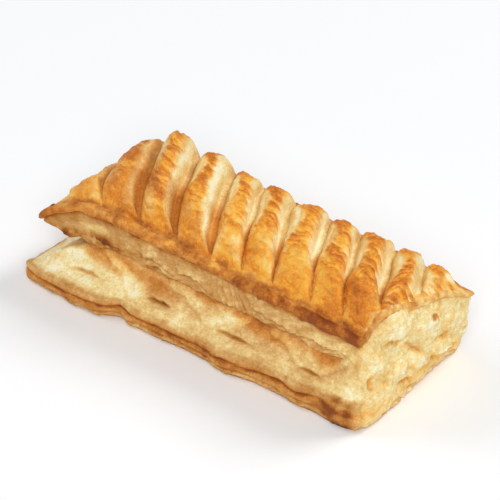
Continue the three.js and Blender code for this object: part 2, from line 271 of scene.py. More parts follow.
def lying_flaps(x, side, flaps, thickness, edge):
    """Thin layers that lie aslant on the side, as relief in millimetres, shade under their edge and light on
    them: each stands proud by its thickness above a tilted, ragged line, over the width of its edge, and
    thins upwards."""
    relief = shade = lit = 0
    for middle, length, share, tilt in flaps:
        ragged = 0.07 * noise(x / 7, 0.5, middle) + 0.015 * noise(x / 2, 2.5, middle)
        above = (side - share - tilt * (x - middle) / length - ragged) * SIDE_HEIGHT
        present = soft_step(1 - np.abs(x - middle) / length, 0, 2 * edge / length) * RING_LONG
        relief = relief + thickness * present * soft_step(above, 0, edge) * (1 - soft_step(above, 1, 6))
        shade = np.maximum(shade, present * soft_step(above, -1.6, -0.1) * (1 - soft_step(above, -0.1, 0.4)))
        lit = np.maximum(lit, present * soft_step(above, 0, edge) * (1 - soft_step(above, 1.5, 5)))
    return relief, shade, lit


def press_marks(x, side):
    """Lens-shaped press marks: between a parabola and its mirror image, deepest under the upper lip."""
    apart = np.abs(x[..., None] - PRESS_CENTRES)
    mark = apart.argmin(-1)
    half = PRESS_HEIGHT / 2 * (1 - (2 * apart.min(-1) / PRESS_LENGTHS[mark]) ** 2)
    high = side - PRESS_SIDE - 0.012 * noise(x / 3, 0, 5)
    inside = soft_step(half - high, 0, 0.016) * soft_step(half + high, -0.02, 0.09)
    return PRESS_STRENGTHS[mark] * inside * RING_LONG


def round_corner(points, amount):
    """Rings with their front right corner rounded off: near it, each point goes by the amount to the mean of
    its neighbours on its ring."""
    turns = range(-CORNER_SPAN, CORNER_SPAN + 1)
    mean = sum(np.roll(points, turn, 1) for turn in turns) / len(turns)
    to_right, to_front = (1 - RING_P) * BASE_LENGTH / 2, (1 + RING_Q) * BASE_WIDTH / 2
    near = round_patch(to_right, to_front, 0, 0, CORNER_REACH)
    return points + (amount * near)[..., None] * (mean - points)


def end_curds(points):
    """Height of the curd-like lumps on the right end and depth of the crevices in it, in millimetres: the
    highest of the domes over each point, roughened by small puffs, and bent slits that taper to both ends."""
    y, z = points[..., 1], points[..., 2]
    across = y + 1.6 * noise(y / 5, z / 5, 1.5) + 0.5 * noise(y / 1.8, z / 1.8, 4.5)
    up = z + 1.6 * noise(y / 5, z / 5, 8.5) + 0.5 * noise(y / 1.8, z / 1.8, 11.5)
    domes = [rise * (1 - ((across - middle) / wide) ** 2 - ((up - level) / high) ** 2)
             for middle, level, wide, high, rise in CURDS]
    height = np.maximum(np.max(domes, axis=0), 0) + 0.8 * billow(points, 4, shift=6)
    height = height + 0.5 * billow(points, 1.7, shift=2)
    crevice = bell(up, END_LIP, 0.9) * soft_step(noise(y / 7, 3.5, 0), -0.5, 0.3)
    for middle, level, length, tilt, bend, depth in CREVICES:
        turn = np.radians(tilt)
        run = (across - middle) * np.cos(turn) + (up - level) * np.sin(turn)
        off = (up - level) * np.cos(turn) - (across - middle) * np.sin(turn) - bend * run**2
        taper = np.clip(1 - (run / length) ** 2, 0, 1)
        crevice = np.maximum(crevice, depth * taper * bell(off, 0, 1.8))
    return height * RING_RIGHT, crevice * RING_RIGHT


def band_seams(x, y, band):
    """Strength of the seams between the band's layers: the greater of bells across the band, about lines that
    wander, with widths and strengths that vary by noise."""
    seams = 0
    for number, (height, depth) in enumerate(BAND_SEAMS):
        line = height + 0.12 * noise(x / 20, y / 20, 0.5) + 0.08 * noise(x / 6, y / 6, number + 8.5)
        width = 0.13 + 0.07 * noise(x / 6, y / 6, number)
        strength = np.clip(0.85 + 0.5 * noise(x / 6, y / 6, number + 0.5), 0.3, 1.1)
        seams = np.maximum(seams, depth * strength * bell(band, line, width))
    return seams


def slope_gold(x, y, side, broken):
    """Golden patches below the crease, from 0 to 1: slanted bells on the front and blots of noise on the
    back, broken up by finer noise and faded out down the slope."""
    patches = sum(strength * bell(x, middle, width) * bell(side, height - 0.005 * (x - middle), 0.24)
                  for middle, height, width, strength in GOLDEN_PATCHES)
    blots = 0.6 * soft_step(noise(x / 17, y / 17, 7), 0.0, 0.6) * bell(side, 0.36, 0.26)
    gold = patches * RING_FRONT + blots * RING_BACK
    return soft_step(gold + 0.4 * broken, 0.15, 1.0) * soft_step(side, 0.12, 0.36)


def bottom_sheet_rings():
    """Rings of the bottom sheet with their browning, painted shade and highlights, and bareness: the smooth
    wall, carried up to the rim on the right end and swollen at its edge, then moved along its normals by
    seams, crinkles, lumps, flaps, curds, crevices and press marks."""
    profile = carry(BOTTOM_ROWS, BOTTOM_STEPS)
    band, side, reach = profile["band"], profile["side"], profile["reach"]
    profile["side"] = side + END_LIFT * RING_RISE * soft_step(side, 0.05, 0.44)
    profile["tuck_long"] = profile["tuck_long"] - END_OUT * RING_RISE * soft_step(side, 0.2, 0.44)
    points = wall_form(**profile)
    points[..., :2] += (edge_swell(points) * (1 - reach))[..., None] * ring_normals(points)[..., :2]
    points = round_corner(points, soft_step(side, 0.0, 0.12))
    x, y, z = np.moveaxis(points, -1, 0)
    on_band = 1 - soft_step(side, 0.0, 0.03)
    slope = (1 - on_band) * (1 - RING_RIGHT)

    # Relief in millimetres, from the band up to the crease.
    browned_corner = bell(x, *BROWNED_CORNER) * RING_FRONT
    seams = band_seams(x, y, band) * on_band * (1 - 0.9 * RING_RIGHT) * (1 - browned_corner)
    under_layer = (1 - soft_step(band, 0.26, 0.46)) * on_band
    seam_brown = bell(band, 0.64, 0.42) * on_band
    crinkle = noise(x / 3.4, y / 3.4, z / 3) + 0.5 * noise(x / 1.5, y / 1.5, z / 1.2)
    lumps = crumble(points, 11)
    crumb = billow(points, 2.4)
    curd_height, crevice = end_curds(points)
    marks = press_marks(x, side)
    flaps, shade, lit = lying_flaps(x, side, SLOPE_FLAPS, thickness=0.4, edge=1.2)
    relief = -SEAM_DEPTH * seams + (0.25 + 0.35 * under_layer) * crinkle * on_band
    relief = relief + (LUMP_RISE * lumps + CRUMB_RISE * crumb) * slope
    relief = relief + curd_height * soft_step(side, -0.05, 0.08) - CREVICE_DEPTH * crevice
    relief = relief + flaps * slope - PRESS_DEPTH * marks
    points = points + (relief * soft_step(band, 0.0, 0.12))[..., None] * ring_normals(points)
    points[..., 2] = np.maximum(points[..., 2], 0)

    # Browning, with painted shade and highlights, in shares of the way from pale dough to burnt crust: each
    # line adds or takes off its share.
    gold = slope_gold(x, y, side, crumble(points, 8, shift=2)) * slope
    # Paler on the tops of the crumbs and darker in the dips between them: painted highlights and shade.
    bake_and_shade = 0.11 + (0.22 - 0.13 * RING_RIGHT) * crumble(points, 9, shift=3) - 0.09 * (crumb - 0.4)
    bake_and_shade = bake_and_shade + 0.17 * soft_step(x, -60, 0)
    band_bake = 0.13 + 0.26 * seam_brown + 0.42 * seams + 0.10 * crinkle + 0.16 * soft_step(-x, 20, 50)
    bake_and_shade = bake_and_shade + on_band * band_bake * (1 - 0.9 * RING_RIGHT)
    # Gold is browned less where the flaps are lit; darker under the flaps' edges and paler on them: painted
    # shade and light. Paler on the lumps' tops and in a strip along the foot of the slope: painted
    # highlights.
    bake_and_shade = bake_and_shade + (0.26 + 0.08 * soft_step(-x, -10, 10)) * gold * (1 - 0.6 * lit)
    bake_and_shade = bake_and_shade + (0.07 * shade - 0.10 * lit - 0.08 * lumps - 0.06 * bell(side, 0.1, 0.16)) * slope
    crease = soft_step(side, 0.36, 0.44) * (1 - RING_RIGHT)
    # The crease is golden; the bottom of the band is darker: a painted contact shadow.
    bake_and_shade = bake_and_shade + 0.12 * crease + 0.28 * (1 - soft_step(band, 0.02, 0.22)) * on_band
    # Press marks are golden inside and darker under their upper lip: painted shade.
    bake_and_shade = bake_and_shade + marks * (0.12 + 0.50 * soft_step(side, PRESS_SIDE - 0.01, PRESS_SIDE + 0.03))
    low_side = 1 - soft_step(side, 0.0, 0.10)
    bake_and_shade = bake_and_shade + 0.55 * browned_corner * low_side * (0.7 + 0.6 * noise(x / 5, y / 5, z / 3))
    # The right end is paler, and paler still on the curds' tops: painted highlights. Its crevices are darker,
    # partly their own golden colour and partly painted shade.
    bake_and_shade = bake_and_shade - RING_RIGHT * (0.10 + 0.04 * curd_height) + 0.18 * crevice
    spot = np.hypot(y - END_SPOT[0], z - END_SPOT[1]) + 1.8 * noise(y / 1.3, z / 1.3, 3)
    bake_and_shade = bake_and_shade + 0.55 * RING_RIGHT * (1 - soft_step(spot, *END_SPOT_REACH))

    # Bareness: 1 is a bare layer, and 0 is a golden, glazed one.
    yellow = RING_RIGHT * soft_step(crumble(points, 5, shift=8), -0.1, 0.5)
    bare = 1 - 0.45 * gold - 0.3 * seams - 0.4 * seam_brown - 0.3 * crease * (1 - gold)
    # Crevices are more golden, partly their own colour and partly painted shade.
    bare = np.clip(bare - 0.3 * yellow - 0.45 * crevice, 0, 1)
    return points, bake_and_shade, bare


def ring_faces(rows, count):
    """Quads between rings that are stored one after the other, each closed on itself."""
    index = np.arange(rows * count).reshape(rows, count)
    low, high = index[:-1], index[1:]
    return np.stack([low, np.roll(low, -1, 1), np.roll(high, -1, 1), high], -1).reshape(-1, 4)


def fan_faces(ring, middle, downward):
    """Triangles from a ring of vertices to one middle vertex, facing down or up."""
    after = np.roll(ring, -1)
    centre = np.full_like(ring, middle)
    return np.stack([centre, after, ring] if downward else [centre, ring, after], -1)


def closed_rings(rings, low_middle, high_middle):
    """Points and faces of rings, closed at both ends by fans to a middle vertex."""
    rows, count = rings.shape[:2]
    total = rows * count
    points = np.concatenate([rings.reshape(-1, 3), [low_middle, high_middle]])
    faces = [
        ring_faces(rows, count),
        fan_faces(np.arange(count), total, True),
        fan_faces(np.arange(total - count, total), total + 1, False),
    ]
    return points, faces


def mesh_piece(name, points, faces, bake_and_shade, bare):
    """A smooth mesh object with the pastry's finish, from points in millimetres, faces, browning with painted
    shade and highlights, and bareness per vertex."""
    mesh = bpy.data.meshes.new(name)
    mesh.from_pydata((points / 1000).tolist(), [], [face for group in faces for face in group.tolist()])
    for mark, values in (("bake_and_shade", bake_and_shade), ("bare", bare)):
        mesh.attributes.new(mark, "FLOAT", "POINT").data.foreach_set("value", values.astype(np.float32))
    mesh.polygons.foreach_set("use_smooth", np.ones(len(mesh.polygons), bool))
    piece = bpy.data.objects.new(name, mesh)
    piece.data.materials.append(pastry_finish(f"{name}_crust"))
    bpy.context.scene.collection.objects.link(piece)
    return piece


def ramp_node(nodes, stops):
    """A colour ramp with stops of (share, linear colour)."""
    node = nodes.new("ShaderNodeValToRGB")
    elements = node.color_ramp.elements
    while len(elements) < len(stops):
        elements.new(1)
    for element, (share, colour) in zip(elements, stops):
        element.position = share
        element.color = (*colour, 1)
    return node


GLAZED_STOPS = [(0.0, (0.95, 0.58, 0.12)), (0.26, (0.92, 0.42, 0.042)), (0.50, (0.76, 0.25, 0.022)),
                (0.75, (0.53, 0.145, 0.012)), (1.0, (0.33, 0.075, 0.008))]
LAYER_STOPS = [(0.0, (1.0, 0.91, 0.62)), (0.09, (0.95, 0.77, 0.38)), (0.22, (0.86, 0.60, 0.235)),
               (0.40, (0.68, 0.375, 0.125)), (0.62, (0.52, 0.23, 0.046)), (0.82, (0.38, 0.12, 0.016)),
               (1.0, (0.20, 0.050, 0.009))]


def pastry_finish(name):
    """Baked pastry: browning with painted shade and highlights, from the mesh and broken up by noise, picks a
    colour from the ramp of the glazed crust and one from that of the bare layers, and bareness mixes the two;
    fine bumps roughen it."""
    material = bpy.data.materials.new(name)
    material.use_nodes = True
    nodes, links = material.node_tree.nodes, material.node_tree.links
    shader = nodes["Principled BSDF"]
    place = nodes.new("ShaderNodeTexCoord").outputs["Object"]

    def attribute(mark):
        """A named value of the mesh."""
        node = nodes.new("ShaderNodeAttribute")
        node.attribute_name = mark
        return node.outputs["Fac"]

    def grain(scale, detail, flatness=1):
        """Noise over the piece, squeezed together along z by the flatness."""
        mapping = nodes.new("ShaderNodeMapping")
        mapping.inputs["Scale"].default_value = (1, 1, flatness)
        texture = nodes.new("ShaderNodeTexNoise")
        texture.inputs["Scale"].default_value = scale
        texture.inputs["Detail"].default_value = detail
        links.new(place, mapping.inputs["Vector"])
        links.new(mapping.outputs["Vector"], texture.inputs["Vector"])
        return texture.outputs["Fac"]

    def math(operation, first, second, third=None):
        """The result of an operation on numbers and on other nodes' results."""
        node = nodes.new("ShaderNodeMath")
        node.operation = operation
        for socket, value in zip(node.inputs, (first, second, third)):
            if isinstance(value, (int, float)):
                socket.default_value = value
            elif value is not None:
                links.new(value, socket)
        return node.outputs["Value"]

    bare = attribute("bare")
    blotch = math("SUBTRACT", grain(420, 4), 0.5)
    streak = math("SUBTRACT", grain(330, 4, flatness=5), 0.5)
    speckle = math("MULTIPLY_ADD", bare, -0.16, 0.40)
    # The mesh's browning values also hold painted shade and highlights.
    browning_and_shade = math("MULTIPLY_ADD", blotch, speckle, attribute("bake_and_shade"))
    fleck = math("SUBTRACT", grain(1400, 2), 0.5)
    browning_and_shade = math("MULTIPLY_ADD", fleck, math("MULTIPLY", speckle, 1.4), browning_and_shade)
    browning_and_shade = math("MULTIPLY_ADD", math("MULTIPLY", streak, bare), 0.24, browning_and_shade)
    glazed, layers = ramp_node(nodes, GLAZED_STOPS), ramp_node(nodes, LAYER_STOPS)
    links.new(browning_and_shade, glazed.inputs["Fac"])
    links.new(browning_and_shade, layers.inputs["Fac"])
    colour = nodes.new("ShaderNodeMix")
    colour.data_type = "RGBA"
    links.new(bare, colour.inputs["Factor"])
    links.new(glazed.outputs["Color"], colour.inputs["A"])
    links.new(layers.outputs["Color"], colour.inputs["B"])
    links.new(colour.outputs["Result"], shader.inputs["Base Color"])
    links.new(math("MULTIPLY_ADD", bare, 0.28, 0.40), shader.inputs["Roughness"])
    bump = nodes.new("ShaderNodeBump")
    bump.inputs["Strength"].default_value = 0.6
    bump.inputs["Distance"].default_value = 0.0006
    links.new(math("ADD", grain(900, 3), math("MULTIPLY", streak, bare)), bump.inputs["Height"])
    links.new(bump.outputs["Normal"], shader.inputs["Normal"])
    shader.inputs["Specular IOR Level"].default_value = 0.2
    shader.inputs["Subsurface Weight"].default_value = 0.12
    shader.inputs["Subsurface Radius"].default_value = (1.0, 0.45, 0.15)
    shader.inputs["Subsurface Scale"].default_value = 0.0025
    return material


# The underside has two more rings, at shares of the way out from its middle. The middle vertices that close
# a piece are plain layers.
UNDERSIDE_SHARES = (0.3, 0.65)
MIDDLE_BAKE, MIDDLE_BARE = 0.4, 1.0
rings, browning_and_shade, bareness = bottom_sheet_rings()
inner_count = len(UNDERSIDE_SHARES)
underside = np.stack([rings[0] * (share, share, 0) for share in UNDERSIDE_SHARES])
skin = np.concatenate([underside, rings])
skin_bake_and_shade = np.concatenate([np.repeat(browning_and_shade[:1], inner_count, 0), browning_and_shade])
skin_bare = np.concatenate([np.repeat(bareness[:1], inner_count, 0), bareness])
bottom_points, bottom_faces = closed_rings(skin, np.zeros(3), skin[-1].mean(0))
bottom_bake_and_shade = np.concatenate([skin_bake_and_shade.ravel(), [MIDDLE_BAKE, MIDDLE_BAKE]])
bottom_bare = np.concatenate([skin_bare.ravel(), [MIDDLE_BARE, MIDDLE_BARE]])
bottom_sheet = mesh_piece("bottom_sheet", bottom_points, bottom_faces, bottom_bake_and_shade, bottom_bare)
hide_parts("pastry")
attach(bottom_sheet, "root")


# Torn edge: the side of the top sheet between the crease and the rim, where its layers pulled apart as they
# rose. It is a pinkish, waxy wall with a few torn flaps and upright pleats; near the left front corner it is
# hollow above a lacy brown lip, and on the right end it lies behind the pale curds of the bottom sheet.

EDGE_ROWS = [
    # band, side, rim, reach, end reach, tuck on long sides, on the left end, on the right end
    (1, 0.470, 0.0, 1, 0.82, 8.0, 18.0, 9.0),
    (1, 0.435, 0.0, 1, 0.82, 2.0, 13.0, 3.2),
    (1, 0.475, 0.0, 1, 0.85, 1.35, 11.8, 3.0),
    (1, 0.530, 0.0, 1, 0.87, 1.0, 10.6, 3.0),
    (1, 0.660, 0.0, 1, 0.91, 0.9, 7.6, 3.0),
    (1, 0.820, 0.0, 1, 0.96, 0.6, 3.4, 3.0),
    (1, 0.960, 0.0, 1, 0.99, 0.5, 0.8, 3.0),
    (1, 1.000, 0.3, 1, 1.00, 3.5, 4.0, 5.0),
    (1, 1.000, 0.4, 1, 1.00, 9.0, 9.0, 9.0),
]
EDGE_STEPS = [3, 4, 5, 10, 10, 8, 4, 2]
# Each torn flap: its middle, its half length, the share of the side's height at its lower edge and its tilt.
WALL_FLAPS = [(-22, 10, 0.66, -0.10), (-17, 9, 0.52, -0.02), (-3, 8, 0.64, -0.06), (4, 10, 0.53, 0.03),
              (30, 9, 0.62, -0.06), (38, 11, 0.52, 0.03), (47, 8, 0.66, 0.04), (58, 9, 0.56, -0.05)]
# The hollow begins and is full this far left of the middle. Its pale lens has a middle and a width.
HOLLOW_START, HOLLOW_FULL, HOLLOW_DEPTH = 30, 44, 1.4
HOLLOW_LENS = (-50, 24)
LIP_RISE = 0.32
EDGE_LUMP_RISE, EDGE_CRUMB_RISE, STREAK_RISE, PLEAT_RISE = 1.1, 0.25, 0.3, 0.7
# The patch of pleats: its middle, its width and the spacing of the pleats, and how they lean about a level.
PLEATS = (15.7, 18, 2.6)
PLEAT_LEAN, PLEAT_LEVEL = 0.3, 26
STREAK_SLOPE = 0.45


def torn_edge_rings():
    """Rings of the torn edge with their browning, painted shade and highlights: the smooth wall, moved along
    its normals by lumps, flaps, streaks, pleats and lace, and hollowed out near the left front corner."""
    profile = carry(EDGE_ROWS, EDGE_STEPS)
    side, rim = profile["side"], profile["rim"]
    to_corner = soft_step(-RING_P, 0.82, 1.0) * soft_step(-RING_Q, 0.5, 0.95)
    wander = 0.06 * noise(RING_P * 7, RING_Q * 3, 2.5)
    profile["side"] = side + (LIP_RISE * to_corner + wander) * (1 - soft_step(side, 0.48, 0.9))
    profile["tuck_long"] = profile["tuck_long"] + RING_RISE
    points = wall_form(**profile)
    x, y, z = np.moveaxis(points, -1, 0)

    # Relief in millimetres; the back has the front's flaps the other way round.
    outer = soft_step(side, 0.445, 0.50) * (1 - soft_step(rim, 0.02, 0.2))
    outer = outer * (1 - RING_RIGHT) * (1 - 0.6 * RING_LEFT)
    hollow = soft_step(-x, HOLLOW_START, HOLLOW_FULL) * (1 - RING_BACK)
    lumps = crumble(points, 8, flatness=1.3, shift=5)
    crumb = billow(points, 3, shift=1)
    mirrored = np.where(RING_Q < 0, x, -x)
    flaps, shade, lit = lying_flaps(mirrored, side, WALL_FLAPS, thickness=0.9, edge=0.5)
    middle, width, spacing = PLEATS
    slant = x + PLEAT_LEAN * (z - PLEAT_LEVEL) + 1.1 * noise(x / 4, z / 7, 1)
    folds = np.cos(2 * np.pi * (slant - middle) / spacing) * bell(x, middle, width)
    fine_folds = 0.3 * noise(x / 1.9, y / 1.9, z / 11)
    fine_folds = fine_folds * soft_step(noise(x / 16, y / 16, 4.5), -0.2, 0.4)
    pleats = 0.5 * folds + fine_folds
    run, rise = x + z, z - STREAK_SLOPE * x
    streaks = noise(run / 13, rise / 2.1, y / 9) + 0.5 * noise(run / 6, rise / 0.9, y / 9)
    lace = soft_step(crumble(points, 2.4, shift=7) + 0.4 * lumps, -0.4, 0.4) * bell(side, 0.55, 0.16)
    streaks = streaks * (1 - bell(x, middle, width))
    relief = EDGE_LUMP_RISE * lumps + (1 - hollow) * (flaps + STREAK_RISE * streaks)
    relief = relief + PLEAT_RISE * pleats + EDGE_CRUMB_RISE * crumb
    relief = relief - HOLLOW_DEPTH * hollow * bell(side, 0.76, 0.30) + (0.3 + 0.7 * hollow) * lace
    points = points + (relief * outer)[..., None] * ring_normals(points)

    # Browning, with painted shade and highlights, in shares of the way from pale to burnt.
    # Paler on the pleats' ridges and the crumbs' tops, darker between them: painted highlights and shade.
    bake_and_shade = 0.46 + 0.16 * lumps - 0.14 * pleats - 0.10 * (crumb - 0.4) - 0.16 * soft_step(x, 30, 60)
    bake_and_shade = bake_and_shade + (0.24 * shade - 0.05 * lit - 0.12 * streaks) * (1 - hollow)
    bake_and_shade = bake_and_shade - 0.34 * hollow * bell(side, 0.74, 0.20) * bell(x, *HOLLOW_LENS)
    bake_and_shade = bake_and_shade + (0.08 + 0.50 * hollow) * lace + 0.10 * hollow
    # Darker just under the rim: painted shade.
    bake_and_shade = bake_and_shade + 0.08 * (1 - soft_step(side, 0.44, 0.54)) + 0.30 * soft_step(side, 0.88, 0.97)
    return points, bake_and_shade


rings, browning_and_shade = torn_edge_rings()
edge_points, edge_faces = closed_rings(rings, rings[0].mean(0), rings[-1].mean(0))
edge_bake_and_shade = np.concatenate([browning_and_shade.ravel(), [MIDDLE_BAKE, MIDDLE_BAKE]])
torn_edge = mesh_piece("torn_edge", edge_points, edge_faces, edge_bake_and_shade, np.ones_like(edge_bake_and_shade))
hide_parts("pastry")
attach(torn_edge, "root")


# Top sheet: the second sheet of laminated dough, slashed across before baking and brushed with egg. The
# strips between the slashes have risen into slanted rolls with a browned, glazed back; the sheet stretched
# beside each roll into a pale flank and a golden trough. Its rim is a thin, rolled brown lip.

LIP_ROWS = [
    # band, side, rim, reach, end reach, tuck on long sides, on the left end, on the right end
    (1, 0.985, 0.00, 1, 1.00, 7.0, 7.0, 7.0),
    (1, 0.970, 0.00, 1, 1.00, 1.2, 1.2, 1.2),
    (1, 0.975, 0.00, 1, 1.00, -0.4, 0.1, 0.1),
    (1, 1.000, 0.35, 1, 1.00, -0.9, -0.2, -0.2),
    (1, 1.000, 0.80, 1, 1.00, 0.2, 0.5, 0.5),
    (1, 1.000, 1.00, 1, 1.00, 1.9, 1.9, 1.9),
]
LIP_STEPS = [1, 2, 3, 3, 3]
LIP_INSET = 1.9
LIP_LUMP_RISE, LIP_CRACKLE_RISE = 1.3, 0.5
DOME_RISE, DOME_LEFT_EXTRA = 6.8, 23
ROLL_HEIGHT, SLOT_DEPTH = 5.4, 0.9
# Each roll: its slit on the left where y is 0, its puff, the share of it where the glaze ends in the middle
# of the lid, how pale its flank is, and how far behind the front edge its trough begins to open, over how far
# it opens and where its flank turns pale, at the end of the painted shade on its front part. The last row
# only ends the roll before it.
ROLLS = np.array([
    (-73.0, 0.35, 0.80, -0.6, 2, 10, 16),
    (-56.1, 0.55, 0.60, 0.0, -2, 8, 18),
    (-38.6, 1.40, 0.62, 0.9, -2, 8, 16),
    (-22.3, 1.00, 0.56, 1.15, -2, 8, 2),
    (-6.4, 0.75, 0.70, 0.7, 6, 18, 12),
    (6.2, 0.80, 0.72, 0.6, 4, 16, 12),
    (19.7, 0.75, 0.73, 0.6, 7, 18, 12),
    (35.7, 0.75, 0.75, 0.5, 8, 18, 12),
    (48.9, 0.90, 0.75, 0.5, 8, 18, 12),
    (63.3, 0.90, 0.68, 0.7, 7, 16, 10),
    (75.9, 0.85, 0.66, 0.7, 6, 16, 10),
    (89.0, 0.85, 0.66, 0.7, 6, 16, 10),
])
FIRST_ROLL, SECOND_ROLL, TALL_ROLL = 0, 1, 2
APRON_START, APRON_FRONT, APRON_BACK, APRON_LEFT, APRON_RIGHT = 0.1, 3.8, 5, 9, 4.5
SLIT_WANDER = 0.9
# The crest's share of the way across a roll on the left, how much more it is on the right, and how much less
# on the tall roll.
CREST_SHARE, CREST_MORE, CREST_LESS = 0.57, 0.15, 0.09
# The powers of a roll's climb and drop where its trough is closed, and how much less they are where it opens.
CLIMB_POWER, DROP_POWER, CLIMB_EASING, DROP_EASING = 3.2, 3.0, 0.9, 0.8
# The wrinkles are lower by a part on the rolls on the left.
WRINKLE_RISE, WRINKLE_LESS, CRACKLE_RISE, BLISTER_RISE = 0.80, 0.50, 0.30, 0.4
STRAND_RISE, TOE_STRAND_RISE = 0.30, 0.6
MOST_BAKED = 0.66
# The browned front right corner of the lid and of its lip: place and reach.
LID_CORNER, LIP_CORNER = (66, -20, 17), (71, -22, 18)


def roll_places(x, y):
    """Where places on the lid lie among the rolls: the number of their roll, its width, the share of the way
    across it from its slit, and the distance along it."""
    place = x + SLIT_SLANT * y + SLIT_WANDER * noise(x / 14, y / 14, 3)
    along = (y - SLIT_SLANT * x) / np.hypot(1, SLIT_SLANT)
    slits = ROLLS[:, 0]
    roll = np.clip(np.searchsorted(slits, place, "right") - 1, 0, len(ROLLS) - 2)
    pitch = slits[roll + 1] - slits[roll]
    return roll, pitch, np.clip((place - slits[roll]) / pitch, 0, 1), along


def roll_profile(over, crest, opened):
    """Climb of a roll from 0 at its slit to 1 at its crest, and its drop from 1 there to 0 in its trough:
    power curves of the share of the way over it, gentler where the trough is open."""
    climb = 1 - np.clip(1 - over / crest, 0, 1) ** (CLIMB_POWER - CLIMB_EASING * opened)
    drop = 1 - np.clip((over - crest) / (1 - crest), 0, 1) ** (DROP_POWER - DROP_EASING * opened)
    return climb, np.maximum(drop, 0)


def flank_browning_and_shade(share, slit, paleness, pale_from, to_front, strand):
    """Browning of a roll's bare flank: pale beside the glaze, browner by its share of the way down to the
    trough and towards the front, partly with painted shade on the flank's front part, and streaked by
    strands, up to a limit."""
    trough = 0.56 - (0.26 + 0.2 * soft_step(slit, -24, -5)) * soft_step(to_front, 14, 32)
    # The unlit front part of the flank is darker: painted shade.
    unlit = 0.26 * (1 - soft_step(to_front, pale_from, pale_from + 9))
    browning_and_shade = 0.22 - 0.22 * paleness + trough * soft_step(share, 0.15, 0.75) + unlit + 0.20 * strand
    return np.minimum(browning_and_shade, MOST_BAKED)


